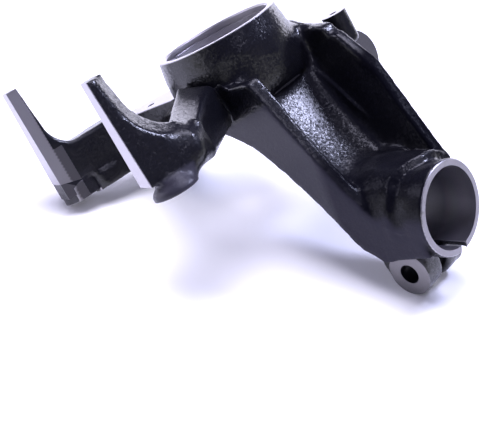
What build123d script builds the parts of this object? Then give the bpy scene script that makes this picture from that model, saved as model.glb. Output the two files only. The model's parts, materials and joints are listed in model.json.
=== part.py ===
from build123d import *
import math
import os

# Front steering knuckle for a left wheel: one iron casting that carries the wheel bearing,
# the strut clamp, the two brake-pad arms, the ball-joint seat and the steering arm.
# Everything is laid out in the knuckle's working axes and set down in its resting pose at
# the end.  Working axes: origin in the middle of the bearing rim, +Z out along the bearing
# axis (outboard), +X up towards the strut, -Y towards the brake caliper.  Millimetres.

# ---------------------------------------------------------------- driving dimensions
BEARING_D = 72.0          # wheel bearing seat
BEARING_W = 37.0          # width of the wheel bearing
SHOULDER_D = 62.0         # opening behind the bearing
RIM_WALL = 3.7            # machined rim outside the circlip groove
HOUSING_L = 47.0          # height of the bearing housing
CIRCLIP_Z, CIRCLIP_W = -3.0, 1.8
CIRCLIP_CUT = 1.5         # depth of the circlip groove
CIRCLIP_D = BEARING_D + 2 * CIRCLIP_CUT
RIM_D = CIRCLIP_D + 2 * RIM_WALL
SHIELD_Z = -27.5          # plane of the splash-shield bosses

STRUT_D = 50.0            # strut tube in the clamp
CLAMP_OD = 58.8
CLAMP_L = 62.0
CLAMP_HEEL = 5.0          # bevel round the tube's lower end
STRUT_LEAN = math.radians(11.45)   # strut axis leans inboard by this angle
CLAMP_AT = (122.9, -11.6, -144.7)  # centre of the clamp mouth
CLAMP_LIP_D, CLAMP_LIP_H = 43.0, 5.0
COLLAR_R, COLLAR_SET = 32.0, 0.6   # thick lower end of the clamp, set in from the neck's near face
COLLAR_FROM = -56.0       # where it starts along the strut
COLLAR_SIDE = 30.0        # its flat far side, from the strut axis
COLLAR_STEP = [(-23, -60), (-23, -14), (-13, 6), (-13, 60), (10, 60), (10, -60)]  # its front: along, across
SLIT_W = 6.0
PINCH_D = 13.0            # pinch-bolt hole
PINCH_S, PINCH_D_OFF = -32.0, 37.0  # bolt centre: below the mouth, inboard of the strut axis
EAR_R, EAR_HALF = 14.5, 18.4

CALIPER_CLOCK = math.radians(17.7)  # the caliper sits this far below the axle line
PAD_HALF = 76.0           # half the gap between the two pad abutments
ARM_FACE = 118.0          # machined front faces of the arms, from the bearing axis
ARM_TOP = {1: 25.5, -1: 27.8}      # tips of the upper and lower arm, outboard of the rim
ARM_STRIP_END = -41.5
ARM_TIP_W, ARM_ROOT_W = 10.0, 18.0
ARM_BOTTOM = -50.0
PIN_AT, PIN_OUT = 104.0, 88.0       # guide-pin bosses: along and across the arm
PIN_BOSS_R, PIN_BOSS_ENDS = 14.0, {1: -51.5, -1: -58.0}   # upper arm, lower arm
PIN_BOSS_TOP, PIN_BOSS_NECK_R = -48.5, 8.0   # shoulder that runs up into the arm's outer face
PIN_CORE_D, PIN_DEPTH = 8.5, 15.0
LOWER_BEAM_TOP = -21.0
STOP_R, STOP_END = 9.5, -60.0      # plain lug under the lower beam
CLEAR = 200.0             # reach of the cutting solids, well clear of the casting

PARTING_Z, ROOT_DRAFT = -42.0, 1.6  # where the mould parts, and the root's taper either side of it

WALL_NEAR, WALL_T = -41.0, 10.0
FLOOR_T = 10.0
CHANNEL_R = 7.0
TIE_EYE_R, TIE_L, TIE_HOLE_D = 18.0, 22.0, 14.0
BALL_R, BALL_L, BALL_HOLE_D = 17.5, 26.0, 18.0

# ---------------------------------------------------------------- axes of the features
K, CL = STRUT_LEAN, CALIPER_CLOCK
STRUT = Vector(math.cos(K), 0, -math.sin(K))       # out of the clamp mouth
INBOARD = Vector(-math.sin(K), 0, -math.cos(K))    # from the strut axis to the slit
ACROSS = Vector(math.cos(CL), -math.sin(CL), 0)    # from one pad arm to the other
OUT = Vector(-math.sin(CL), -math.cos(CL), 0)      # from the bearing axis to the caliper
MOUTH = Vector(*CLAMP_AT)
RIM_R, FOOT_R, SEAT_R = RIM_D / 2, RIM_D / 2 + 2.6, BEARING_D / 2
BORE_END = CIRCLIP_Z - CIRCLIP_W - BEARING_W       # shoulder the bearing is pressed against


def arm(across, out, z):
    """Point given in caliper axes."""
    return ACROSS * across + OUT * out + Vector(0, 0, z)


def clamp(s, d, y=0.0):
    """Point given in clamp axes: along the strut, inboard of it, and along Y from it."""
    return MOUTH + STRUT * s + INBOARD * d + Vector(0, y, 0)


def ring_wire(points):
    return Wire.make_polygon([Vector(*p) if not isinstance(p, Vector) else p for p in points], close=True)


def prism_y(outline, y0, y1):
    """Solid with an X-Z outline, from y0 to y1."""
    face = Face(ring_wire([(x, y0, z) for x, z in outline]))
    return Solid.extrude(face, Vector(0, y1 - y0, 0))


def prism_x(outline, x0, x1):
    """Solid with a Y-Z outline, from x0 to x1."""
    face = Face(ring_wire([(x0, y, z) for y, z in outline]))
    return Solid.extrude(face, Vector(x1 - x0, 0, 0))


def prism_z(outline, z0, z1):
    """Solid with a plan outline of points in caliper axes, from z0 to z1."""
    face = Face(ring_wire([arm(a, o, z0) for a, o in outline]))
    return Solid.extrude(face, Vector(0, 0, z1 - z0))


def between(section_a, section_b):
    """Straight-sided solid between two outlines with the same number of corners."""
    return Solid.make_loft([ring_wire(section_a), ring_wire(section_b)], ruled=True)


def one(shape):
    """The single solid of a boolean's result."""
    parts = shape.solids() if hasattr(shape, "solids") else [p for s in shape for p in s.solids()]
    if len(parts) != 1:
        raise ValueError(f"expected one solid, got {len(parts)}: {[round(p.volume) for p in parts]}")
    return parts[0]


def rod(start, direction, radius, length):
    return Solid.make_cylinder(radius, length, Plane(origin=start, z_dir=direction))


# ---------------------------------------------------------------- bearing housing
def housing():
    """Turned ring: narrow machined rim, drafted cast wall, foot radius."""
    with BuildSketch(Plane.XZ) as s:
        with BuildLine():
            Polyline((0, 0), (RIM_R, 0), (FOOT_R - 0.4, -13), (FOOT_R, -HOUSING_L + 4),
                     (FOOT_R - 4, -HOUSING_L), (0, -HOUSING_L), close=True)
        make_face()
    return revolve(s.sketch, Axis.Z).solid()


def bearing_bore():
    """Seat, lead-in, circlip groove, shoulder and the opening behind it."""
    seat = rod((0, 0, BORE_END), (0, 0, 1), SEAT_R, -BORE_END + 1)
    lead = Solid.make_cone(SEAT_R, SEAT_R + 1.2, 1.2, Plane(origin=(0, 0, -1.0)))
    groove = rod((0, 0, CIRCLIP_Z - CIRCLIP_W), (0, 0, 1), CIRCLIP_D / 2, CIRCLIP_W)
    back = rod((0, 0, -HOUSING_L - 60), (0, 0, 1), SHOULDER_D / 2, HOUSING_L + 60)
    return [seat, lead, groove, back]


# ---------------------------------------------------------------- neck to the strut clamp
FLOOR_A, FLOOR_B = (30.0, -41.0), (66.7, -104.0)   # floor of the neck's channel, near to far end
NECK_CREST = [(30, -27.5), (50.4, -27.5), (61.4, -36.5), (71.1, -47), (82.7, -59.5), (112.3, -122), (115, -133)]
NEAR_CREST = [(43, -27.5), (48, -30), (56.4, -53.2), (66.3, -79.9), (77.2, -108.3), (89.5, -131.8),
              (103, -142.5), (119.5, -148.5)]
NECK_KEEL = [(118.5, -161.5), (104, -160.5), (80.5, -158.5), (68.6, -148.5), (62, -133.9), (54.7, -117.5), (46, -100.1),
             (36.3, -83.8), (25.6, -68.6), (12.3, -58.1), (-8, -47)]


def floor_line(drop):
    """The channel floor's two ends, moved square to the floor by drop."""
    (xa, za), (xb, zb) = FLOOR_A, FLOOR_B
    run = math.hypot(xb - xa, zb - za)
    nx, nz = -(zb - za) / run, (xb - xa) / run
    return [(xa + nx * drop, za + nz * drop), (xb + nx * drop, zb + nz * drop)]


def along_floor(point, distance):
    (xa, za), (xb, zb) = FLOOR_A, FLOOR_B
    run = math.hypot(xb - xa, zb - za)
    return (point[0] + (xb - xa) / run * distance, point[1] + (zb - za) / run * distance)


def on_floor(edge):
    """True for the two long edges where the channel floor meets its walls."""
    (xa, za), (xb, zb) = FLOOR_A, FLOOR_B
    nx, nz = -(zb - za), xb - xa
    run = math.hypot(nx, nz)
    off = [abs((p.X - xa) * nx + (p.Z - za) * nz) / run for p in (edge @ 0, edge @ 1)]
    return edge.length > 40 and max(off) < 0.01 and abs((edge @ 0).Y - (edge @ 1).Y) < 0.6 * edge.length


def neck():
    """Two tall walls and a floor between them, narrowing from the ring to the clamp."""
    side = prism_y(NECK_CREST + NECK_KEEL + [(-8, -27.5)], -60, 60)
    plan = prism_x([(WALL_NEAR, -20), (42, -20), (42, -30), (19, -122), (17.8, -175), (WALL_NEAR, -175)], -20, 140)
    body = one(side.intersect(plan))
    # near wall is lower, and its crest is bevelled out and down
    lift = [(x + 3.6, z + 1.6) for x, z in NEAR_CREST]
    above = [(135, -142), (150, -60), (90, 0), (43, 0)]
    low = between([(x, WALL_NEAR - 3, z) for x, z in NEAR_CREST + above],
                  [(x, WALL_NEAR + WALL_T + 1, z) for x, z in lift + above])
    high = prism_y(lift + above, WALL_NEAR + WALL_T + 1, -24)
    body = one(body.cut(low, high))
    # channel above the floor, and the shallow one beneath it
    (xa, za), (xb, zb) = floor_line(0)
    top = [along_floor((xa, za), -40), (xb, zb), along_floor((xb, zb), 60), (190, -140), (150, 0), (30, 20)]
    inner = prism_x([(WALL_NEAR + WALL_T, -10), (33, -10), (33, -30), (10.5, -120), (9, -180),
                     (WALL_NEAR + WALL_T, -180)], -20, 200)
    body = one(body.cut(one(prism_y(top, -60, 60).intersect(inner))))
    p, q = floor_line(-FLOOR_T)
    keel = [along_floor(p, 22), along_floor(q, -6), along_floor(floor_line(-60)[1], -6), along_floor(floor_line(-60)[0], 22)]
    body = one(body.cut(one(prism_y(keel, -60, 60).intersect(inner))))
    # the far wall stops short of the mouth
    ahead = Face(ring_wire([clamp(-14, -60, -8), clamp(20, -60, -8), clamp(20, -60, 60), clamp(-14, -60, 60)]))
    body = one(body.cut(Solid.extrude(ahead, INBOARD * 120)))
    foot = [e for e in body.edges() if on_floor(e)]
    return body.fillet(CHANNEL_R, foot)


def far_web():
    """Gusset that carries the far wall up onto the flank of the housing."""
    outline = [(16, -15), (24.6, -17.5), (29.4, -20.3), (35.2, -22.8), (43, -24.8), (55, -27.5), (55, -42), (16, -42)]
    return prism_y(outline, 31, 41.5)


def strut_clamp():
    """Thin tube for the strut, a collar that backs it, and the two pinch ears."""
    tube = rod(clamp(-CLAMP_L, 0), STRUT, CLAMP_OD / 2, CLAMP_L)
    tube = tube.chamfer(1.0, None, [tube.edges().filter_by(GeomType.CIRCLE).sort_by(Axis(MOUTH, STRUT))[-1]])
    tube = tube.chamfer(CLAMP_HEEL, None, [tube.edges().filter_by(GeomType.CIRCLE).sort_by(Axis(MOUTH, STRUT))[0]])
    centre = WALL_NEAR + COLLAR_SET + COLLAR_R - CLAMP_AT[1]
    collar = rod(clamp(COLLAR_FROM, 0, centre), STRUT, COLLAR_R, -COLLAR_FROM - 5)
    step = Face(ring_wire([clamp(q, -60, y) for q, y in COLLAR_STEP]))
    below = Face(ring_wire([clamp(-CLAMP_L - 5, 4, -60), clamp(5, 4, -60), clamp(5, 4, 60), clamp(-CLAMP_L - 5, 4, 60)]))
    beside = Solid.make_box(2 * CLEAR, CLEAR, 2 * CLEAR,
                            Plane(origin=(MOUTH.X - CLEAR, MOUTH.Y + COLLAR_SIDE, MOUTH.Z - CLEAR)))
    collar = one(collar.cut(Solid.extrude(step, INBOARD * 120), Solid.extrude(below, INBOARD * 60), beside))
    return one(tube.fuse(collar))


def pinch_ears():
    """Oval lugs with flat machined ends; the slit parts them later."""
    y0 = CLAMP_AT[1] - EAR_HALF

    def disc(s, d, r):
        c = clamp(s, d)
        return rod((c.X, y0, c.Z), (0, 1, 0), r, 2 * EAR_HALF)

    def web(points):
        face = Face(ring_wire([(clamp(s, d).X, y0, clamp(s, d).Z) for s, d in points]))
        return Solid.extrude(face, Vector(0, 2 * EAR_HALF, 0))
    return one(disc(PINCH_S, PINCH_D_OFF, EAR_R).fuse(
        disc(-41.5, 30.5, 9.0),
        web([(-48.6, 36.0), (-52, 24), (-54, 8), (-20, 8), (-18.5, 22), (-17.6, 36), (-32, 40)])))


def clamp_cuts():
    bore = rod(clamp(-CLAMP_L + CLAMP_LIP_H, 0), STRUT, STRUT_D / 2, CLAMP_L + 2)
    lip = rod(clamp(-CLAMP_L - 30, 0), STRUT, CLAMP_LIP_D / 2, CLAMP_L)
    y = -SLIT_W / 2
    slit_face = Face(ring_wire([clamp(-CLAMP_L - 3, 12, y), clamp(4, 12, y), clamp(4, 62, y), clamp(-CLAMP_L - 3, 62, y)]))
    slit = Solid.extrude(slit_face, Vector(0, SLIT_W, 0))
    c = clamp(PINCH_S, PINCH_D_OFF)
    pinch = rod((c.X, CLAMP_AT[1] - 40, c.Z), (0, 1, 0), PINCH_D / 2, 80)
    return [bore, lip, slit, pinch]


# ---------------------------------------------------------------- brake-pad arms
def arm_plate(side, reach, inner_back, outer_back):
    """Upright plate that carries one abutment: a prong that bridges the disc, swept into a beam.
    Each back edge is given by the start, middle and end of its arc, as (out, z)."""
    i, o_tip, o_root = PAD_HALF, PAD_HALF + ARM_TIP_W, PAD_HALF + ARM_ROOT_W
    top = ARM_TOP[side]
    slope = (o_root - o_tip) / (top - ARM_STRIP_END)

    def outline(across, concave, low):
        def at(f, z):
            g = across if across == i else o_tip + slope * (top - z)
            return arm(side * g, f, z)
        start, mid, end = concave
        edges = [Edge.make_line(at(ARM_FACE, low), at(ARM_FACE, top)),
                 Edge.make_line(at(ARM_FACE, top), at(start[0] + 3, top)),
                 Edge.make_line(at(start[0] + 3, top), at(*start)),
                 Edge.make_three_point_arc(at(*start), at(*mid), at(*end)),
                 Edge.make_line(at(*end), at(reach, end[1])),
                 Edge.make_line(at(reach, end[1]), at(reach, ARM_BOTTOM)),
                 Edge.make_line(at(reach, ARM_BOTTOM), at(88, ARM_BOTTOM)),
                 Edge.make_line(at(88, ARM_BOTTOM), at(ARM_FACE, low))]
        return Wire(edges)
    inner = outline(i, inner_back, ARM_STRIP_END)
    outer = outline(o_tip, outer_back, ARM_STRIP_END)
    return Solid.make_loft([inner, outer], ruled=True)


def upper_arm():
    return arm_plate(1, 80, ((101.5, 6), (94.5, -9.5), (81, -19.5)), ((110.6, 4), (102.5, -14.2), (84, -26.5)))


def lower_arm():
    return arm_plate(-1, 72, ((107.5, -4), (104, -13.4), (95, LOWER_BEAM_TOP)),
                     ((106.5, -4), (103, -13.0), (94, LOWER_BEAM_TOP)))


def pin_boss(side):
    """Guide-pin boss on the inboard side of an arm, flush with the abutment."""
    end = PIN_BOSS_ENDS[side]
    boss = rod(arm(side * PIN_OUT, PIN_AT, end), (0, 0, 1), PIN_BOSS_R, PIN_BOSS_TOP - end)
    rise = PIN_BOSS_R - PIN_BOSS_NECK_R
    shoulder = Solid.make_cone(PIN_BOSS_R, PIN_BOSS_NECK_R, rise, Plane(origin=arm(side * PIN_OUT, PIN_AT, PIN_BOSS_TOP)))
    boss = one(boss.fuse(shoulder))
    inside = prism_z([(side * PAD_HALF, 60), (side * PAD_HALF, 140), (side * 20, 140), (side * 20, 60)], -80, 0)
    front = prism_z([(side * 50, ARM_FACE), (side * 130, ARM_FACE), (side * 130, 140), (side * 50, 140)], -80, 0)
    return one(boss.cut(inside, front))


def pin_hole(side):
    return rod(arm(side * PIN_OUT, PIN_AT, PIN_BOSS_ENDS[side] - 1), (0, 0, 1), PIN_CORE_D / 2, PIN_DEPTH + 1)


def stop_lug():
    """Long plain lug under the lower arm's beam, beside the guide pin."""
    across, ends, high = -84, (87, 62), ARM_BOTTOM + 2 - STOP_END
    posts = [rod(arm(across, out, STOP_END), (0, 0, 1), STOP_R, high) for out in ends]
    bar = prism_z([(across - STOP_R, ends[0]), (across + STOP_R, ends[0]),
                   (across + STOP_R, ends[1]), (across - STOP_R, ends[1])], STOP_END, STOP_END + high)
    return one(posts[0].fuse(posts[1], bar))


def upper_root():
    """Sloping bar from the upper arm back to the housing, widest at the mould's parting line."""
    def section(inner, outer):
        (gi, fi), (go, fo) = inner, outer
        width = math.hypot(go - gi, fo - fi)
        dg, df = (go - gi) / width * ROOT_DRAFT, (fo - fi) / width * ROOT_DRAFT
        return [arm(gi, fi, -20.5), arm(go - dg, fo - df, -27.5), arm(go, fo, PARTING_Z),
                arm(go - dg, fo - df, ARM_BOTTOM + 3), arm(go - 3 * dg, fo - 3 * df, ARM_BOTTOM),
                arm(gi, fi, ARM_BOTTOM)]
    return between(section((76.2, 88), (98.5, 80.5)), section((0, 37), (28, 28)))


def lower_root():
    """Beam of the lower arm and the flat shield flange between it and the housing."""
    beam = prism_z([(-76, 82), (-94, 82), (-92, 40), (-62, 4), (-30, 0), (-38, 22), (-55, 30), (-72, 52)],
                   ARM_BOTTOM, LOWER_BEAM_TOP)
    flat = prism_z([(-90, 60), (-72.5, 56), (-50, 56), (-30, 20), (-20, -20), (-120, -20), (-120, 40)], SHIELD_Z, 0)
    shelf = prism_z([(-76, 60), (-70, 52), (-36, 34), (-20, 10), (-62, 4), (-84, 26)], ARM_BOTTOM + 2, SHIELD_Z)
    return one(one(beam.cut(flat)).fuse(shelf))


# ---------------------------------------------------------------- ball joint and steering arm
BALL_AT = Vector(-101, -5, -59)


def ball_seat():
    """Boss for the ball-joint stud, on a tapered arm below the housing."""
    boss = rod(BALL_AT - STRUT * BALL_L / 2, STRUT, BALL_R, BALL_L)
    wrist = between([(-30, -30, -27.5), (-30, 28, -27.5), (-24, 28, -HOUSING_L), (-24, -30, -HOUSING_L)],
                    [(-101, -19, -50), (-101, 7, -50), (-98, 7, -74), (-98, -19, -74)])
    return one(boss.fuse(wrist))


def ball_hole():
    return rod(BALL_AT - STRUT * (BALL_L / 2 + 3), STRUT, BALL_HOLE_D / 2, BALL_L + 3)


TIE_AT = Vector(27, 64.5, -61.5)


def steering_arm():
    """Arm to the rear with the tie-rod eye, and a screw boss standing on it."""
    eye = rod(TIE_AT - Vector(TIE_L / 2, 0, 0), (1, 0, 0), TIE_EYE_R, TIE_L)
    beam = between([(14, 30, -44), (42, 30, -44), (42, 30, -84), (14, 30, -84)],
                   [(17.5, 66, -46), (36.5, 66, -46), (36.5, 66, -79), (17.5, 66, -79)])
    return one(eye.fuse(beam))


def tie_hole():
    return rod(TIE_AT - Vector(TIE_L, 0, 0), (1, 0, 0), TIE_HOLE_D / 2, 2 * TIE_L)


SHIELD_HOLES = [(39.0, 61.0), (-75.0, -16.5), (-44.0, 58.0)]
SHIELD_CORE_D, SHIELD_DEPTH, SHIELD_BOSS_R = 5.0, 14.0, 8.5


def shield_bosses():
    a = rod((*SHIELD_HOLES[0], -50), (0, 0, 1), SHIELD_BOSS_R, 50 + SHIELD_Z)
    x, y = SHIELD_HOLES[2]
    c = rod((x, y, -46), (0, 0, 1), SHIELD_BOSS_R, 46 + SHIELD_Z)
    web = between([(x - 5, y, -46), (x + 7, y + 3, -46), (x + 7, y + 3, SHIELD_Z - 1), (x - 5, y, SHIELD_Z - 1)],
                  [(-30, 20, -46), (-14, 28, -46), (-14, 28, SHIELD_Z - 1), (-30, 20, SHIELD_Z - 1)])
    return [a, one(c.fuse(web))]


def shield_holes():
    return [rod((x, y, SHIELD_Z - SHIELD_DEPTH), (0, 0, 1), SHIELD_CORE_D / 2, SHIELD_DEPTH + 1)
            for x, y in SHIELD_HOLES]


# ---------------------------------------------------------------- the casting
def casting():
    solid = one(housing().fuse(neck(), far_web(), strut_clamp(), pinch_ears(), upper_arm(), lower_arm(),
                           pin_boss(1), pin_boss(-1), stop_lug(), upper_root(), lower_root(), ball_seat(),
                           steering_arm(), *shield_bosses()))
    return one(solid.cut(*bearing_bore(), *clamp_cuts(), ball_hole(), tie_hole(), pin_hole(1), pin_hole(-1),
                         *shield_holes()))


# ---------------------------------------------------------------- resting pose
# Set down on a floor the knuckle stands on the lower guide-pin boss, the ball-joint boss and
# one pinch ear.  The upward direction is the normal of the plane through those three points.
REST_UP = Vector(0.511846, 0.103391, 0.852833)
REST_RIGHT = Vector(0.63507, 0.60846, -0.47588)    # from the guide-pin boss towards the ear


def rest_seat():
    """Plane whose local axes are those of the resting pose."""
    right = (REST_RIGHT - REST_UP * REST_RIGHT.dot(REST_UP)).normalized()
    return Plane(origin=(0, 0, 0), x_dir=right, z_dir=REST_UP)


def at_rest(solid):
    """The casting on the floor, its footprint centred on the origin."""
    laid = rest_seat().to_local_coords(solid)
    box = laid.bounding_box()
    return laid.moved(Location((-box.center().X, -box.center().Y, -box.min.Z)))


def main():
    os.makedirs("parts", exist_ok=True)
    laid = at_rest(casting())
    laid.label = "steering_knuckle"
    export_step(laid, "parts/steering_knuckle.step")


main()
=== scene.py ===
"""Looks of a cast steering knuckle: black enamel over a sand casting, with its seats machined bright."""
import bmesh
import bpy
import json
import math
import numpy as np
from mathutils import Matrix, Vector
from mathutils.geometry import delaunay_2d_cdt


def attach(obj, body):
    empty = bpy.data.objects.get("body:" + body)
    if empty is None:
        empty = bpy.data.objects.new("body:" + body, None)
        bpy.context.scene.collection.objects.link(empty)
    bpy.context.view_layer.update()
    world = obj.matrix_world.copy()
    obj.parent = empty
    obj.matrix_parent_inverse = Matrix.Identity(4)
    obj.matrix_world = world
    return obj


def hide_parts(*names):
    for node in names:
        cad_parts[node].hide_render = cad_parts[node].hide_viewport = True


bl_info = {"name": "Steering Knuckle Studio", "version": (1, 0, 0), "blender": (4, 5, 0),
           "location": "View3D > Sidebar > Knuckle", "category": "Object",
           "description": "Finishes a cast steering knuckle and sets it on a white studio floor"}

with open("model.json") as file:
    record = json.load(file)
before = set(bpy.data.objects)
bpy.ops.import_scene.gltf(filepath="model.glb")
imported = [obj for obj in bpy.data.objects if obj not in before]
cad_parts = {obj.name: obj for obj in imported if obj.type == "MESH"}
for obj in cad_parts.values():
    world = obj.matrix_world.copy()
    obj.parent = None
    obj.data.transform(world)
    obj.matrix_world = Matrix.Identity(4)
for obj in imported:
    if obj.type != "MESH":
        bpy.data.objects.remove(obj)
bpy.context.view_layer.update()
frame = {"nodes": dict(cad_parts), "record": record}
NODE = "steering_knuckle"

# ---------------------------------------------------------------- axes of the casting, in millimetres
# Casting axes: origin in the middle of the bearing rim, +Z out along the bearing, +X towards the
# strut, -Y towards the caliper.  The casting lies in its resting pose in the row frame.
REST_UP = np.array([0.511846, 0.103391, 0.852833])
REST_RIGHT = np.array([0.63507, 0.60846, -0.47588])
REST_UP /= np.linalg.norm(REST_UP)
REST_RIGHT -= REST_UP * (REST_UP @ REST_RIGHT)
REST_RIGHT /= np.linalg.norm(REST_RIGHT)
TURN = np.stack([REST_RIGHT, np.cross(REST_UP, REST_RIGHT), REST_UP])     # casting axes to row axes
BEARING = next(m for m in frame["record"]["mounts"] if m["name"] == "bearing_bore")
BEARING_MID = -23.3                                # height of that mount on the bearing's axis
ORIGIN = np.array(BEARING["pos_m"]) * 1000 - TURN @ np.array([0, 0, BEARING_MID])

AHEAD, SIDE, UP = np.eye(3)
LEAN, CLOCK = math.radians(11.45), math.radians(17.7)              # lean of the strut, turn of the arms
STRUT = np.array([math.cos(LEAN), 0, -math.sin(LEAN)])             # along the strut, out of the clamp
INBOARD = np.array([-math.sin(LEAN), 0, -math.cos(LEAN)])          # square to the strut
ACROSS = np.array([math.cos(CLOCK), -math.sin(CLOCK), 0])          # from the lower arm to the upper
OUT = np.array([-math.sin(CLOCK), -math.cos(CLOCK), 0])            # from the bearing to the caliper
MOUTH = np.array([122.9, -11.6, -144.7])                           # middle of the clamp's mouth
PINCH = MOUTH - 32.0 * STRUT + 37.0 * INBOARD                      # on the pinch bolt's axis
COLLAR = MOUTH + 3.2 * SIDE                                        # on the axis of the clamp's collar
TIE, BALL = np.array([27, 64.5, -61.5]), np.array([-101, -5, -59])     # tie-rod eye, ball joint's seat
SHIELD_HOLES = ((39.0, 61.0), (-75.0, -16.5), (-44.0, 58.0))
SHIELD_Z = -27.5
PIN_ACROSS, PIN_OUT = 88, 104                      # axes of the two guide-pin bosses
PIN_ENDS = ((1, -51.5), (-1, -58.0))               # side and inboard end of each boss
PAD_FACE = 76.0                                    # abutments that the brake pads slide on
NEAR_FACE = -29.4                                  # outer face of the near wall, from the clamp's axis
CHANNEL = np.array([30, 0, -41.0])                 # on the floor of the neck's channel
FLOOR_UP = np.array([63.0, 0, 36.7]) / math.hypot(63.0, 36.7)      # square to that floor
FLOOR_WAY = np.array([FLOOR_UP[2], 0, -FLOOR_UP[0]])               # along it, towards the clamp
FAR_CREST = ((61.4, 71.1, 82.7, 112.3), (-36.5, -47, -59.5, -122))     # its line, as x and z
ROUNDS = [  # a point on the axis, its direction, and the round's profile as (along, radius)
    ((0, 0, 0), UP, [(-13, 43.4), (0, 41.2)]),              # rim
    ((0, 0, 0), UP, [(-43, 43.8), (-13, 43.4)]),            # housing
    ((0, 0, 0), UP, [(-41.8, 36), (-1, 36)]),               # bearing seat
    ((0, 0, 0), UP, [(-1, 36), (0.2, 37.2)]),               # bevel into the seat
    ((0, 0, 0), UP, [(-4.8, 37.5), (-3, 37.5)]),            # circlip groove
    ((0, 0, 0), UP, [(-60, 31), (-41.8, 31)]),              # opening behind the shoulder
    (MOUTH, STRUT, [(-57, 25), (0, 25)]),                   # bore of the clamp
    (MOUTH, STRUT, [(-62, 21.5), (-57, 21.5)]),             # its inner lip
    (MOUTH, STRUT, [(-57, 29.4), (-1, 29.4)]),              # tube
    (MOUTH, STRUT, [(-1, 29.4), (0, 28.4)]),                # bevel round the mouth
    (COLLAR, STRUT, [(-56, 32), (0, 32)]),                  # collar
    (PINCH, SIDE, [(-30, 6.5), (30, 6.5)]),                 # pinch bolt's hole and ears
    (PINCH, SIDE, [(-30, 14.5), (30, 14.5)]),
    (TIE, AHEAD, [(-11, 7), (11, 7)]),                      # tie-rod eye
    (TIE, AHEAD, [(-11, 18), (11, 18)]),
    (BALL, STRUT, [(-13, 9), (13, 9)]),                     # ball joint's seat
    (BALL, STRUT, [(-13, 17.5), (13, 17.5)]),
]
for side, end in PIN_ENDS:
    pin = side * PIN_ACROSS * ACROSS + PIN_OUT * OUT
    ROUNDS += [(pin, UP, [(end, 14), (-48.5, 14)]), (pin, UP, [(-48.5, 14), (-42.5, 8)]),
               (pin, UP, [(end, 4.25), (end + 15, 4.25)])]
for x, y in SHIELD_HOLES:
    ROUNDS += [((x, y, 0), UP, [(-50, 8.5), (SHIELD_Z, 8.5)]), ((x, y, 0), UP, [(-42, 2.5), (SHIELD_Z, 2.5)])]

ON_FACE = 0.3                  # a point this near a machined face counts as on it
EASE = 2.5                     # the cast skin is eased in over this distance from a machined face
SAME_PLANE = 0.9999985         # triangles whose normals agree this well lie in one plane
BOW = 1e-4                     # bow of a split edge, per step along it
CHUNK = 2000                   # spots measured at a time
SHARP = math.radians(38)       # edges bent more than this stay crisp
# low corner, high corner and soft edge of the boxes that get extra rounding: the neck's fillets, and
# the shoulder under the upper arm
NECK_BOX = (np.array([24, -28, -150]), np.array([84, 30, -16]), 6)
SHOULDER_BOX = (np.array([56, -116, -62]), np.array([76, -97, -26]), 5)


def to_casting(points):
    """Row frame in metres to casting axes in millimetres."""
    return (points * 1000 - ORIGIN) @ TURN


def to_row(points):
    """Casting axes in millimetres to the row frame in metres."""
    return (points @ TURN.T + ORIGIN) / 1000


def clamp_place(p):
    """Places along the strut, inboard of it and sideways, from the middle of the clamp's mouth."""
    q = p - MOUTH
    return q @ STRUT, q @ INBOARD, q[:, 1]


def arm_place(p):
    """Places across the arms, out towards the caliper, and up."""
    return p @ ACROSS, p @ OUT, p[:, 2]


def channel_place(p):
    """Heights above the floor of the neck's channel, and places along it."""
    return (p - CHANNEL) @ FLOOR_UP, (p - CHANNEL) @ FLOOR_WAY


def from_pinch(p):
    """Distance from the pinch bolt's axis."""
    return np.hypot((p - PINCH) @ STRUT, (p - PINCH) @ INBOARD)


def over_far_crest(p):
    """Height above the line of the far wall's crest."""
    return p[:, 2] - np.interp(p[:, 0], *FAR_CREST)


def ramp(x, zero, one):
    """0 where x is at zero or past it, 1 where it is at one or past it, and even in between."""
    return np.clip((x - zero) / (one - zero), 0, 1)


# ---------------------------------------------------------------- sizes and colours a user would change
class KNUCKLE_PG_settings(bpy.types.PropertyGroup):
    cell: bpy.props.FloatProperty(
        name="Cell", description="Length of the skin's triangles where the casting is rough",
        default=0.00135, min=0.0009, max=0.01, unit="LENGTH")
    coarse: bpy.props.FloatProperty(
        name="Machined cell", description="Length of the skin's triangles within a machined flat",
        default=0.005, min=0.001, max=0.02, unit="LENGTH")
    rounding: bpy.props.IntProperty(
        name="Edge rounding", description="Passes that round the cast edges", default=8, min=0, max=200)
    fillet: bpy.props.IntProperty(
        name="Inner fillets", description="Extra passes in the corners of the neck and roots",
        default=150, min=0, max=400)
    enamel: bpy.props.StringProperty(name="Enamel", description="Black enamel, sRGB hex", default="#08080E")
    # a lighter grey enamel: on the near wall's outer face it is a painted reflection of the bright floor, on
    # the guide-pin bosses and in the clamp's bore it marks matt enamel
    dull_enamel_and_painted_reflection: bpy.props.StringProperty(
        name="Thin enamel", description="Enamel where it lies thin and dull, sRGB hex", default="#2A2932")
    iron: bpy.props.StringProperty(
        name="Machined iron", description="Cut grey iron, sRGB hex", default="#AAA7AB")
    floor: bpy.props.StringProperty(name="Floor", description="Studio floor, sRGB hex", default="#F4F4F8")


def settings():
    return bpy.context.scene.knuckle


def srgb(code):
    """Linear RGBA of an sRGB hex colour."""
    parts = [int(code[i:i + 2], 16) / 255 for i in (1, 3, 5)]
    return [c / 12.92 if c <= 0.04045 else ((c + 0.055) / 1.055) ** 2.4 for c in parts] + [1.0]


def add(tree, kind, sets=None, links=None, **props):
    """Adds a node, gives its properties and socket values, and links sockets to it."""
    node = tree.nodes.new(kind)
    for key, value in props.items():
        setattr(node, key, value)
    for key, value in (sets or {}).items():
        node.inputs[key].default_value = value
    for key, (source, out) in (links or {}).items():
        tree.links.new(source.outputs[out], node.inputs[key])
    return node


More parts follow.
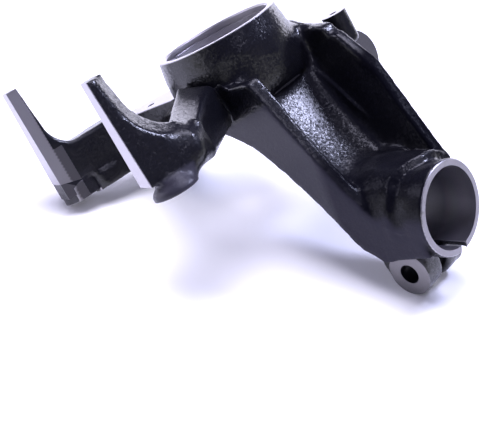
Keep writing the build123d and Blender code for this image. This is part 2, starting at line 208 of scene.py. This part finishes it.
# ---------------------------------------------------------------- machined surfaces
def worst(*limits):
    """Distance into or out of a region bounded by several limits: negative inside all of them."""
    stack = np.stack(limits)
    inside = stack.max(0)
    outside = np.sqrt((np.maximum(stack, 0) ** 2).sum(0))
    return np.where(inside < 0, inside, outside)


def machined_distance(p):
    """Signed distance, in mm, of casting-axes points to the machined surfaces: negative on them."""
    r = np.hypot(p[:, 0], p[:, 1])
    s, d, y = clamp_place(p)
    rho = np.hypot(d, y)
    g, f, z = arm_place(p)
    pin = from_pinch(p)
    tie = np.hypot(p[:, 1] - TIE[1], p[:, 2] - TIE[2])
    ball = p - BALL
    ball_r = np.linalg.norm(ball - (ball @ STRUT)[:, None] * STRUT, axis=1)
    abutment = np.abs(np.abs(g) - PAD_FACE) - ON_FACE
    regions = [
        worst(r - 41.35, -0.35 - z),                                # rim
        worst(r - 38.0, -46.8 - z),                                 # seat, groove and shoulder
        worst(rho - 29.5, -0.3 - s),                                # mouth of the clamp
        worst(rho - 25.3, -57.3 - s),                               # bore of the clamp
        worst(pin - 14.4, np.abs(np.abs(y) - 18.4) - 0.25, 6.6 - pin),     # faces of the ears
        worst(pin - 15.6, np.abs(y - NEAR_FACE) - ON_FACE),         # spot face let into the near wall
        worst(117.7 - f, np.abs(g) - 96, -43 - z),                  # front strips of the arms
        worst(abutment, 110 - f, -58 - z),                          # abutments, and their feet
        worst(abutment, 103.4 - f, z + 19.5, -58 - z),
        worst(ball_r - 17.4, np.abs(ball @ STRUT + 13) - ON_FACE, 8.8 - ball_r),         # ball joint's seat
        worst(tie - 17.9, np.abs(np.abs(p[:, 0] - TIE[0]) - 11) - ON_FACE, 6.8 - tie),   # tie-rod eye
        worst(np.abs(z - SHIELD_Z) - ON_FACE, np.abs(g + 62) - 24, np.abs(f - 35) - 19),     # shield flange
    ]
    for x0, y0 in SHIELD_HOLES:
        pad = np.hypot(p[:, 0] - x0, p[:, 1] - y0)
        regions.append(worst(pad - 8.4, np.abs(z - SHIELD_Z) - ON_FACE, 2.4 - pad))
    for side, end in PIN_ENDS:
        boss = np.hypot(g - side * PIN_ACROSS, f - PIN_OUT)
        regions.append(worst(boss - 13.9, z - end - ON_FACE, 4.1 - boss))
    return np.minimum.reduce(regions)


def overspray(p):
    """How much enamel mist lies on the machined faces, from 0 to 1; deep in the clamp's bore it grows with
    depth as painted shade.
    """
    s, d, y = clamp_place(p)
    g, f, z = arm_place(p)
    rho = np.hypot(d, y)
    mist_and_painted_shade = np.zeros(len(p))
    for where, much in (
            ((from_pinch(p) < 17) & (np.abs(y) > 17), 0.5),                                 # pinch ears
            ((s > -0.5) & (rho < 30), 0.45),                                                # mouth
            # inside the clamp's bore the darkening grows with depth: painted shade
            ((s < -0.5) & (s > -58) & (rho < 26), np.clip(0.35 - (s + 8) / 28, 0.3, 0.9)),  # bore
            ((g < -70) & (f > 95) & (f < 109.8), 0.7),                                      # lower foot
            ((p[:, 1] > 40) & (z < -40), 0.6)):                                             # tie-rod eye
        mist_and_painted_shade = np.where(where, much, mist_and_painted_shade)
    return mist_and_painted_shade


def satin(p):
    """Where the enamel is drawn matt and lighter grey: on the near wall's outer face, where the grey is a
    painted reflection of the bright floor, and on the guide-pin bosses and in the clamp's bore."""
    s, d, y = clamp_place(p)
    g, f, z = arm_place(p)
    upper = z + 51.7 - 0.183 * (p[:, 0] - 15.6)          # the wall is rough above this line
    # below that line the near wall's outer face is drawn lighter grey, a painted reflection of the bright
    # floor
    reflected_and_dull = ramp(worst(np.abs(y - NEAR_FACE) - 0.5, upper), 1.2, 0)
    for side, much in ((1, 1.0), (-1, 0.2)):
        boss = worst(np.hypot(g - side * PIN_ACROSS, f - PIN_OUT) - 15, z + 42.5)
        reflected_and_dull = np.maximum(reflected_and_dull, ramp(boss, 2, 0) * much)
    return np.where((np.hypot(d, y) < 26) & (s < 0.5), 1, reflected_and_dull)


def hollow_sheen(p):
    """How far the enamel keeps its gloss: it is turned down as painted shade in the hollow beside the near
    wall and along the far crest, and a little where the enamel is matt.
    """
    s, d, y = clamp_place(p)
    hollow = worst(14 + y, d - 26, s + 1.5, -60 - s, 27.5 - np.hypot(d, y))
    crest = worst(np.abs(over_far_crest(p)) - 5, 20.5 - y, 76 - p[:, 0])
    # painted shade: the gloss falls away in the hollow beside the near wall and along the far crest
    unshaded = np.clip(0.25 + np.maximum(hollow, 0) / 9, 0, 1) * np.clip(0.03 + np.maximum(crest, 0) / 8, 0, 1)
    return unshaded * (1 - 0.35 * satin(p))


def dished_channel(p):
    """Dishes the floor of the neck's channel by a few millimetres, deepest along its middle."""
    above, along = channel_place(p)
    middle, reach = 36, 38
    across = p[:, 1] + 1
    dish = 3.6 * (1 - ((along - middle) / reach) ** 2) - 2.0 * ramp(np.abs(across), 0, 28) ** 2
    near = ramp(np.abs(above), 8, 3) * (np.abs(along - middle) < reach) * (np.abs(across) < 33)
    return p - (dish * near)[:, None] * FLOOR_UP


def rising_root(p):
    """Raises the upper arm's root bar towards the housing, but not where it meets it."""
    g, f, z = arm_place(p)
    bar = ramp(f, 86, 40) * (g > 4) * (g < 96) * (f > 30) * (np.abs(z + 25) < 8)
    p[:, 2] += 7.0 * bar * ramp((p[:, 0] ** 2 + p[:, 1] ** 2) ** 0.5, 44, 48)
    return p


def stepped_collar(p):
    """Lets the clamp's tube fall away in front of its collar, and swells the collar's edge."""
    s, d, y = clamp_place(p)
    rho = np.hypot(d, y)
    past = s - (ramp(y, -14, 6) * 10 - 23)              # beyond the collar's slanted front
    lift = np.where(past < 0, 1.2 * ramp(past, -7, 0), -1.7 * ramp(past, 12, 3))
    skin = (rho > 27.5) & (rho < 37) & (d < 14) & (y > -29.35) & (s > -50) & (s < -2)
    return p + (skin * lift / np.maximum(rho, 1))[:, None] * (d[:, None] * INBOARD + y[:, None] * SIDE)


def tilted_crest(p):
    """Slopes the far wall's crest up away from the channel."""
    crest = (np.abs(over_far_crest(p)) < 1.5) * (p[:, 1] > 20) * (p[:, 0] > 58)
    p[:, 2] += crest * 1.7 * np.clip((p[:, 1] - 27) / 6, -1, 1)
    return p


def ledge(p):
    """Steps the foot of the far wall out, along a line that leaves the channel's floor slowly."""
    x, z = p[:, 0] - 37, p[:, 2] + 46.9
    height, along = 0.787 * x + 0.617 * z, 0.617 * x - 0.787 * z
    step = ramp(height, 0, -1.2) * ramp(height, -9, 0) * ramp(along, -2, 3) * ramp(along, 52, 38)
    p[:, 1] -= 1.7 * step * ((p[:, 1] > 8) & (p[:, 1] < 30))
    return p


def soft_box(p, low, high, edge):
    """1 inside a box, falling to 0 over edge millimetres outside it."""
    gap = np.maximum(np.maximum(low - p, p - high), 0)
    return np.clip(1 - np.linalg.norm(gap, axis=1) / edge, 0, 1)


# ---------------------------------------------------------------- skin of the casting
def joined_triangles(node):
    """Points in casting millimetres and triangles of a CAD node, joined where they meet."""
    bm = bmesh.new()
    bm.from_mesh(node.data)
    bmesh.ops.remove_doubles(bm, verts=bm.verts, dist=2e-6)
    bmesh.ops.triangulate(bm, faces=bm.faces)
    points = np.array([v.co[:] for v in bm.verts])
    faces = np.array([[v.index for v in f.verts] for f in bm.faces])
    bm.free()
    return to_casting(points), faces


def edge_table(faces):
    """Each mesh edge once, the three edges of every triangle, and the two triangles of every edge."""
    ends = np.sort(faces[:, [0, 1, 1, 2, 2, 0]].reshape(-1, 2), axis=1)
    edges, which = np.unique(ends, axis=0, return_inverse=True)
    which = which.ravel()
    order = np.argsort(which, kind="stable")
    return edges, which.reshape(-1, 3), (order // 3).reshape(-1, 2)


def flat_regions(points, faces, sides):
    """A number for every triangle, shared by joined triangles that lie in one plane, and its normal."""
    normal = np.cross(points[faces[:, 1]] - points[faces[:, 0]], points[faces[:, 2]] - points[faces[:, 0]])
    normal /= np.linalg.norm(normal, axis=1)[:, None]
    same = (normal[sides[:, 0]] * normal[sides[:, 1]]).sum(1) > SAME_PLANE
    label = np.arange(len(faces))
    a, b = sides[same].T
    while True:
        low = np.minimum(label[a], label[b])
        before = label.copy()
        np.minimum.at(label, a, low)
        np.minimum.at(label, b, low)
        label = label[label]
        if (label == before).all():
            return label, normal


def inside(spots, start, end):
    """Whether flat spots lie within an outline of edges, holes left out."""
    result = np.zeros(len(spots), dtype=bool)
    for k in range(0, len(spots), CHUNK):
        x, y = spots[k:k + CHUNK, 0:1], spots[k:k + CHUNK, 1:2]
        spans = (start[:, 1] > y) != (end[:, 1] > y)
        rise = np.where(end[:, 1] == start[:, 1], 1.0, end[:, 1] - start[:, 1])
        reach = start[:, 0] + (y - start[:, 1]) * (end[:, 0] - start[:, 0]) / rise
        result[k:k + CHUNK] = (spans & (x < reach)).sum(1) % 2 == 1
    return result


def fill_spots(flat, start, end, size):
    """Points on a triangular grid within an outline, kept off its edge."""
    low, high = flat.min(0), flat.max(0)
    rows = np.arange(low[1] + size * 0.5, high[1], size * 0.866)
    cols = np.arange(low[0] - size, high[0] + size, size)
    if len(rows) == 0:
        return np.zeros((0, 2))
    x, y = np.meshgrid(cols, rows)
    x = x + (np.arange(len(rows)) % 2)[:, None] * size * 0.5
    spots = np.stack([x.ravel(), y.ravel()], 1)
    spots = spots[inside(spots, start, end)]
    keep = np.ones(len(spots), dtype=bool)
    for k in range(0, len(spots), CHUNK):
        gap = spots[k:k + CHUNK, None, :] - flat[None, :, :]
        keep[k:k + CHUNK] = (gap ** 2).sum(2).min(1) > (0.55 * size) ** 2
    return spots[keep]


def even_mesh(points, faces, size, coarse):
    """Splits the triangles to an even size without leaving the CAD surface.  Every flat region is
    filled anew with points size apart, or coarse apart where its whole outline is machined."""
    edges, of_face, sides = edge_table(faces)
    label, normal = flat_regions(points, faces, sides)
    rim = label[sides[:, 0]] != label[sides[:, 1]]
    out = [points]
    count = len(points)
    chain = []
    length = np.linalg.norm(points[edges[:, 0]] - points[edges[:, 1]], axis=1)
    for (a, b), long, border in zip(edges, length, rim):
        parts = max(1, int(math.ceil(long / size))) if border else 1
        if parts > 1:
            t = (np.arange(1, parts) / parts)[:, None]
            out.append(points[a] * (1 - t) + points[b] * t)
        chain.append([a] + list(range(count, count + parts - 1)) + [b])
        count += parts - 1
    place = np.concatenate(out)
    cut = machined_distance(place) < ON_FACE
    extra, made = [], []
    by_region = {}
    for face, region in enumerate(label):
        by_region.setdefault(region, []).append(face)
    for region, members in by_region.items():
        runs = [chain[e] if faces[m, k] < faces[m, (k + 1) % 3] else chain[e][::-1]
                for m in members for k, e in enumerate(of_face[m]) if rim[e]]
        ids = sorted({i for run in runs for i in run})
        n = normal[members[0]]
        u = np.cross(n, [0, 0, 1] if abs(n[2]) < 0.9 else [1, 0, 0])
        u /= np.linalg.norm(u)
        v = np.cross(n, u)
        origin = place[ids].mean(0)
        flat = np.stack([(place[ids] - origin) @ u, (place[ids] - origin) @ v], 1)
        slot = {i: k for k, i in enumerate(ids)}
        for run in runs:        # bows every split edge out by microns, so no triangle is left edge-on
            ends = flat[slot[run[-1]]] - flat[slot[run[0]]]
            out_way = np.array([ends[1], -ends[0]]) / np.linalg.norm(ends)
            for k, i in enumerate(run[1:-1], 1):
                flat[slot[i]] += out_way * BOW * k * (len(run) - 1 - k)
        local = np.array([(slot[run[k]], slot[run[k + 1]]) for run in runs for k in range(len(run) - 1)])
        start, end = flat[local[:, 0]], flat[local[:, 1]]
        spots = fill_spots(flat, start, end, coarse if cut[ids].all() else size)
        seeds = [Vector(p) for p in np.concatenate([flat, spots])]
        got = delaunay_2d_cdt(seeds, local.tolist(), [], 1, 1e-9, True)
        names = [o[0] if o else -1 for o in got[3]]
        triangles = np.array([f for f in got[2] if len(f) == 3])
        where = np.array([p[:] for p in got[0]])
        triangles = triangles[inside(where[triangles].mean(1), start, end)]
        offset = count + sum(len(x) for x in extra)
        extra.append(origin + spots[:, :1] * u + spots[:, 1:] * v)
        lookup = np.array(ids + [offset + k for k in range(len(spots))])
        made.append(lookup[np.array(names)[triangles]])
    return np.concatenate([place] + extra), np.concatenate(made)


def trued(points):
    """Puts points that lie on the flats of a round back on the round itself."""
    for centre, way, ((from_h, from_r), (to_h, to_r)) in ROUNDS:
        q = points - np.array(centre)
        h = q @ way
        flat = q - h[:, None] * way
        r = np.linalg.norm(flat, axis=1)
        want = from_r + (to_r - from_r) * np.clip((h - from_h) / (to_h - from_h), 0, 1)
        near = (h > from_h - 0.02) & (h < to_h + 0.02) & (np.abs(r - want) < 0.2)
        points[near] += flat[near] * ((want[near] - r[near]) / r[near])[:, None]
    return points


def relax(points, edges, weight, passes):
    """Moves points towards their neighbours' middle, by weight."""
    a, b = edges[:, 0], edges[:, 1]
    count = np.bincount(a, minlength=len(points)) + np.bincount(b, minlength=len(points))
    step = (0.5 * weight / np.maximum(count, 1))[:, None]
    for _ in range(passes):
        total = np.empty_like(points)
        for k in range(3):
            total[:, k] = np.bincount(a, points[b, k], len(points))
            total[:, k] += np.bincount(b, points[a, k], len(points))
        points = points + step * (total - count[:, None] * points)
    return points


def mark_points(mesh, **values):
    """Gives the mesh one attribute per name, with a value for each point."""
    for name, value in values.items():
        mesh.attributes.new(name, "FLOAT", "POINT").data.foreach_set("value", value.astype(np.float32))


def place_in_scene(name, mesh):
    piece = bpy.data.objects.new(name, mesh)
    bpy.context.scene.collection.objects.link(piece)
    return piece


class KNUCKLE_OT_skin(bpy.types.Operator):
    """Rounds the casting's edges and corners, and marks what is machined"""
    bl_idname = "knuckle.skin"
    bl_label = "Casting skin"

    def execute(self, context):
        st = settings()
        points, faces = even_mesh(*joined_triangles(frame["nodes"][NODE]), st.cell * 1000, st.coarse * 1000)
        points = tilted_crest(stepped_collar(rising_root(dished_channel(trued(points)))))
        edges = edge_table(faces)[0]
        keep = ramp(machined_distance(points), ON_FACE, ON_FACE + EASE)
        g, f, z = arm_place(points)
        bosses = (np.hypot(np.abs(g) - PIN_ACROSS, f - PIN_OUT) < 15.5) & (z < -49)
        points = relax(points, edges, np.where(bosses, 0.1, 1) * keep, st.rounding)
        neck = soft_box(points, *NECK_BOX) * ramp(channel_place(points)[0], 20, 14)
        corners = np.maximum(neck, soft_box(points, *SHOULDER_BOX)) * keep
        points = ledge(relax(points, edges, corners, st.fillet))
        used, faces = np.unique(faces, return_inverse=True)
        points, faces = points[used], faces.reshape(-1, 3)
        mesh = bpy.data.meshes.new("casting_skin")
        mesh.from_pydata(to_row(points).tolist(), [], faces.tolist())
        mark_points(mesh, satin=satin(points), sheen=hollow_sheen(points),
                    machined=machined_distance(points), overspray=overspray(points))
        mesh.shade_smooth()
        mesh.set_sharp_from_angle(angle=SHARP)
        mesh.materials.append(casting_finish())
        skin = place_in_scene("casting_skin", mesh)
        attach(skin, "root")
        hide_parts(NODE)
        return {"FINISHED"}


class KNUCKLE_OT_foot_web(bpy.types.Operator):
    """Adds the web that joins the lower arm's abutment to its guide-pin boss"""
    bl_idname = "knuckle.foot_web"
    bl_label = "Foot web"

    def execute(self, context):
        outline = [(117.9, -40.0), (117.9, -53.0), (104.0, -53.0), (94.0, -40.0)]
        points = np.array([g * ACROSS + f * OUT + z * UP for g in (-76.1, -93.0) for f, z in outline])
        faces = [(0, 1, 2, 3), (7, 6, 5, 4)] + [(k, k + 4, (k + 1) % 4 + 4, (k + 1) % 4) for k in range(4)]
        mesh = bpy.data.meshes.new("foot_web")
        mesh.from_pydata(to_row(points).tolist(), [], faces)
        bm = bmesh.new()
        bm.from_mesh(mesh)
        bmesh.ops.recalc_face_normals(bm, faces=bm.faces)
        bm.to_mesh(mesh)
        bm.free()
        mark_points(mesh, machined=machined_distance(points), overspray=np.full(8, 0.7),
                    satin=np.full(8, 0.3), sheen=np.full(8, 0.5))
        mesh.materials.append(bpy.data.materials["black_enamel_on_sand_cast_iron"])
        web = place_in_scene("foot_web", mesh)
        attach(web, "root")
        return {"FINISHED"}


# ---------------------------------------------------------------- finishes
def blank_material(name):
    mat = bpy.data.materials.new(name)
    mat.use_nodes = True
    mat.node_tree.nodes.clear()
    return mat, mat.node_tree


def casting_finish():
    """Black enamel over sand-cast grey iron; where it is machined the cut iron is left bare."""
    st = settings()
    mat, tree = blank_material("black_enamel_on_sand_cast_iron")
    place = add(tree, "ShaderNodeTexCoord")
    dull_and_painted_reflection = add(tree, "ShaderNodeAttribute", attribute_name="satin")
    sheen = add(tree, "ShaderNodeAttribute", attribute_name="sheen")
    # sand grain under the enamel, 0.8 mm across where real sand is nearer 0.4, so that it can be seen:
    # every grain tilts the gloss its own way
    grain = add(tree, "ShaderNodeTexVoronoi", {"Scale": 1250.0}, {"Vector": (place, "Object")})
    tilt = add(tree, "ShaderNodeVectorMath", {1: (0.5, 0.5, 0.5)}, {0: (grain, "Color")},
               operation="SUBTRACT")
    rough = add(tree, "ShaderNodeMapRange", {"To Min": 0.17, "To Max": 0.09}, {"Value": (dull_and_painted_reflection, "Fac")})
    lean = add(tree, "ShaderNodeVectorMath", None, {0: (tilt, "Vector"), "Scale": (rough, "Result")},
               operation="SCALE")
    # and the enamel swells softly over it, about every 2.6 mm
    swell = add(tree, "ShaderNodeTexNoise", {"Scale": 380.0, "Detail": 1.0}, {"Vector": (place, "Object")})
    soft = add(tree, "ShaderNodeBump", {"Strength": 0.5, "Distance": 0.0003}, {"Height": (swell, "Fac")})
    summed = add(tree, "ShaderNodeVectorMath", None, {0: (soft, "Normal"), 1: (lean, "Vector")},
                 operation="ADD")
    bump = add(tree, "ShaderNodeVectorMath", None, {0: (summed, "Vector")}, operation="NORMALIZE")
    # the enamel turns lighter grey where it is matt; on the near wall's outer face that grey is a painted
    # reflection of the floor
    coat = add(tree, "ShaderNodeMix", {6: srgb(st.enamel), 7: srgb(st.dull_enamel_and_painted_reflection)}, {0: (dull_and_painted_reflection, "Fac")},
               data_type="RGBA")
    gloss = add(tree, "ShaderNodeMapRange", {"To Min": 0.28, "To Max": 0.42}, {"Value": (dull_and_painted_reflection, "Fac")})
    # the gloss is turned down where shade is painted in, beside the near wall and on the far crest
    level = add(tree, "ShaderNodeMath", {1: 0.5}, {0: (sheen, "Fac")}, operation="MULTIPLY")
    enamel = add(tree, "ShaderNodeBsdfPrincipled", {"IOR": 1.52},
                 {"Base Color": (coat, 2), "Roughness": (gloss, "Result"), "Normal": (bump, "Vector"),
                  "Specular IOR Level": (level, "Value")})
    # cut grey iron: soft grey and a little uneven, with marks about 1 mm apart
    cut = add(tree, "ShaderNodeTexNoise", {"Scale": 900.0, "Detail": 3.0}, {"Vector": (place, "Object")})
    cut_bump = add(tree, "ShaderNodeBump", {"Strength": 0.25, "Distance": 0.0002}, {"Height": (cut, "Fac")})
    iron = add(tree, "ShaderNodeBsdfPrincipled",
               {"Base Color": srgb(st.iron), "Metallic": 1.0, "Roughness": 0.42},
               {"Normal": (cut_bump, "Normal")})
    mark = add(tree, "ShaderNodeAttribute", attribute_name="machined")
    bare = add(tree, "ShaderNodeMapRange", {"From Min": 0.35, "From Max": 0.05, "To Min": 0.0, "To Max": 1.0},
               {"Value": (mark, "Fac")})
    # enamel mist greys some of the cut faces; deep in the clamp's bore it darkens them as painted shade
    mist_and_painted_shade = add(tree, "ShaderNodeAttribute", attribute_name="overspray")
    clear = add(tree, "ShaderNodeMath", {0: 1.0}, {1: (mist_and_painted_shade, "Fac")}, operation="SUBTRACT")
    share = add(tree, "ShaderNodeMath", None, {0: (bare, "Result"), 1: (clear, "Value")},
                operation="MULTIPLY")
    both = add(tree, "ShaderNodeMixShader", None,
               {0: (share, "Value"), 1: (enamel, "BSDF"), 2: (iron, "BSDF")})
    add(tree, "ShaderNodeOutputMaterial", None, {"Surface": (both, "Shader")})
    return mat


def seen_straight_or_mirrored(tree, mirrored=None):
    """1 for what the camera sees straight on, and 1 or the given share for what it sees mirrored."""
    path = add(tree, "ShaderNodeLightPath")
    bounced = add(tree, "ShaderNodeMath", None,
                  {0: (path, "Is Glossy Ray"), 1: (path, "Is Transmission Ray")}, operation="MAXIMUM")
    if mirrored:
        bounced = add(tree, "ShaderNodeMath", None, {0: (bounced, "Value"), 1: mirrored},
                      operation="MULTIPLY")
    return add(tree, "ShaderNodeMath", None, {0: (path, "Is Camera Ray"), 1: (bounced, "Value")},
               operation="MAXIMUM")


def floor_finish():
    """White studio paper: matt, and left white wherever no shadow falls."""
    mat, tree = blank_material("white_studio_paper")
    paper = add(tree, "ShaderNodeBsdfDiffuse", {"Color": srgb(settings().floor)})
    # from half a metre away the paper runs out to plain white
    place = add(tree, "ShaderNodeTexCoord")
    reach = add(tree, "ShaderNodeVectorMath", None, {0: (place, "Object")}, operation="LENGTH")
    fade = add(tree, "ShaderNodeMapRange",
               {"From Min": 0.5, "From Max": 1.4, "To Min": 0.08, "To Max": 1.0}, {"Value": (reach, "Value")})
    lift = add(tree, "ShaderNodeMath", None,
               {0: (seen_straight_or_mirrored(tree), "Value"), 1: (fade, "Result")}, operation="MULTIPLY")
    glow = add(tree, "ShaderNodeEmission", {"Color": srgb(settings().floor)}, {"Strength": (lift, "Value")})
    both = add(tree, "ShaderNodeAddShader", None, {0: (paper, "BSDF"), 1: (glow, "Emission")})
    add(tree, "ShaderNodeOutputMaterial", None, {"Surface": (both, "Shader")})
    return mat


# ---------------------------------------------------------------- studio
LAMPS = (  # name, place, width and height, brightness, colour, shows as a highlight; aimed at the knuckle
    ("softbox_above", (0.75, 0.3, 1.1), (0.3, 0.3), 60.0, "#D6DAFF", True),
    ("softbox_overhead", (-0.1, -0.05, 1.6), (0.9, 0.9), 13.0, "#F0EEFF", False),
    ("softbox_behind", (0.05, 0.45, 1.5), (0.8, 0.8), 5.5, "#E6E4FF", True),
    ("softbox_front", (0.38, -0.7, 1.2), (0.35, 0.35), 4.5, "#E6E4FF", True),
    ("panel_behind", (0.1, 1.7, 0.22), (3.2, 0.5), 4.0, "#E6E4FF", True),
    ("panel_left", (-1.4, 0.15, 0.7), (0.9, 0.9), 3.5, "#E6E4FF", True),
    ("panel_right", (1.3, -0.9, 0.6), (0.7, 0.7), 0.3, "#F6F0F6", True),
)
AIM = (0.0, 0.0, 0.06)
FLOOR_HALF = 6                     # half the floor's width
ROOM, ROOM_GLOW = "#B4B4F8", 0.12
WALL_TOP = (0.1, 0.2)              # sine of the elevation where the white wall starts to fade, and ends


def aim(place, target):
    return (Vector(target) - Vector(place)).to_track_quat("-Z", "Y").to_euler()


class KNUCKLE_OT_studio(bpy.types.Operator):
    """Lays the floor and hangs the lamps"""
    bl_idname = "knuckle.studio"
    bl_label = "Studio"

    def execute(self, context):
        scene = context.scene
        mesh = bpy.data.meshes.new("floor")
        corners = [(x * FLOOR_HALF, y * FLOOR_HALF, 0) for x, y in ((-1, -1), (1, -1), (1, 1), (-1, 1))]
        mesh.from_pydata(corners, [], [(0, 1, 2, 3)])
        mesh.materials.append(floor_finish())
        floor = place_in_scene("floor", mesh)
        for name, place, (wide, high), bright, colour, shows in LAMPS:
            light = bpy.data.lights.new(name, "AREA")
            light.shape, light.size, light.size_y = "RECTANGLE", wide, high
            light.energy, light.color = bright * math.pi * wide * high, srgb(colour)[:3]
            lamp = place_in_scene(name, light)
            lamp.visible_camera = False
            lamp.visible_glossy = shows
            lamp.location, lamp.rotation_euler = place, aim(place, AIM)
        world = bpy.data.worlds.new("studio")
        world.use_nodes = True
        tree = world.node_tree
        tree.nodes.clear()
        # the camera sees white all round; metal mirrors a low white wall, under a dim room
        look = add(tree, "ShaderNodeTexCoord")
        split = add(tree, "ShaderNodeSeparateXYZ", None, {"Vector": (look, "Generated")})
        wall = add(tree, "ShaderNodeMapRange",
                   {"From Min": WALL_TOP[0], "From Max": WALL_TOP[1], "To Min": 1.0, "To Max": 0.0},
                   {"Value": (split, "Z")})
        room = add(tree, "ShaderNodeBackground", {"Color": srgb(ROOM), "Strength": ROOM_GLOW})
        white = add(tree, "ShaderNodeBackground", {"Color": srgb("#FFFFFF"), "Strength": 1.0})
        seen = add(tree, "ShaderNodeMixShader", None,
                   {0: (seen_straight_or_mirrored(tree, (wall, "Result")), "Value"), 1: (room, "Background"),
                    2: (white, "Background")})
        add(tree, "ShaderNodeOutputWorld", None, {"Surface": (seen, "Shader")})
        scene.world = world
        scene.view_settings.view_transform = "Standard"
        return {"FINISHED"}


CAMERA_FROM = ORIGIN / 1000 + np.array([0.030217, -0.807802, 0.378387])    # from the bearing's rim
CAMERA_RIGHT = (0.99984, 0.0, -0.017874)
CAMERA_UP = (0.015069, 0.537963, 0.842833)
SENSOR, FOCAL = 36.0, 104.564
SHIFT = (-0.02408, 0.00139)


class KNUCKLE_OT_camera(bpy.types.Operator):
    """Sets the camera up in front of the knuckle, a little above it"""
    bl_idname = "knuckle.camera"
    bl_label = "Camera"

    def execute(self, context):
        data = bpy.data.cameras.new("camera")
        data.sensor_width, data.lens = SENSOR, FOCAL
        data.shift_x, data.shift_y = SHIFT
        data.clip_start = 0.05
        camera = place_in_scene("camera", data)
        right, up = Vector(CAMERA_RIGHT).normalized(), Vector(CAMERA_UP)
        up = (up - right * up.dot(right)).normalized()
        turn = Matrix((right, up, right.cross(up))).transposed().to_4x4()
        camera.matrix_world = Matrix.Translation(Vector(CAMERA_FROM)) @ turn
        context.scene.camera = camera
        return {"FINISHED"}


class KNUCKLE_PT_panel(bpy.types.Panel):
    """Lists the knuckle's pieces and settings"""
    bl_idname = "KNUCKLE_PT_panel"
    bl_label = "Steering knuckle"
    bl_space_type = "VIEW_3D"
    bl_region_type = "UI"
    bl_category = "Knuckle"

    def draw(self, context):
        for name in KNUCKLE_PG_settings.__annotations__:
            self.layout.prop(context.scene.knuckle, name)
        for step in OPERATORS:
            self.layout.operator(step.bl_idname)


OPERATORS = (KNUCKLE_OT_skin, KNUCKLE_OT_foot_web, KNUCKLE_OT_studio, KNUCKLE_OT_camera)
CLASSES = (KNUCKLE_PG_settings,) + OPERATORS + (KNUCKLE_PT_panel,)


def register():
    for cls in CLASSES:
        bpy.utils.register_class(cls)
    bpy.types.Scene.knuckle = bpy.props.PointerProperty(type=KNUCKLE_PG_settings)


def unregister():
    del bpy.types.Scene.knuckle
    for cls in reversed(CLASSES):
        bpy.utils.unregister_class(cls)


def main():
    register()
    for step in OPERATORS:
        group, name = step.bl_idname.split(".")
        getattr(getattr(bpy.ops, group), name)()


if __name__ == "__main__":
    main()
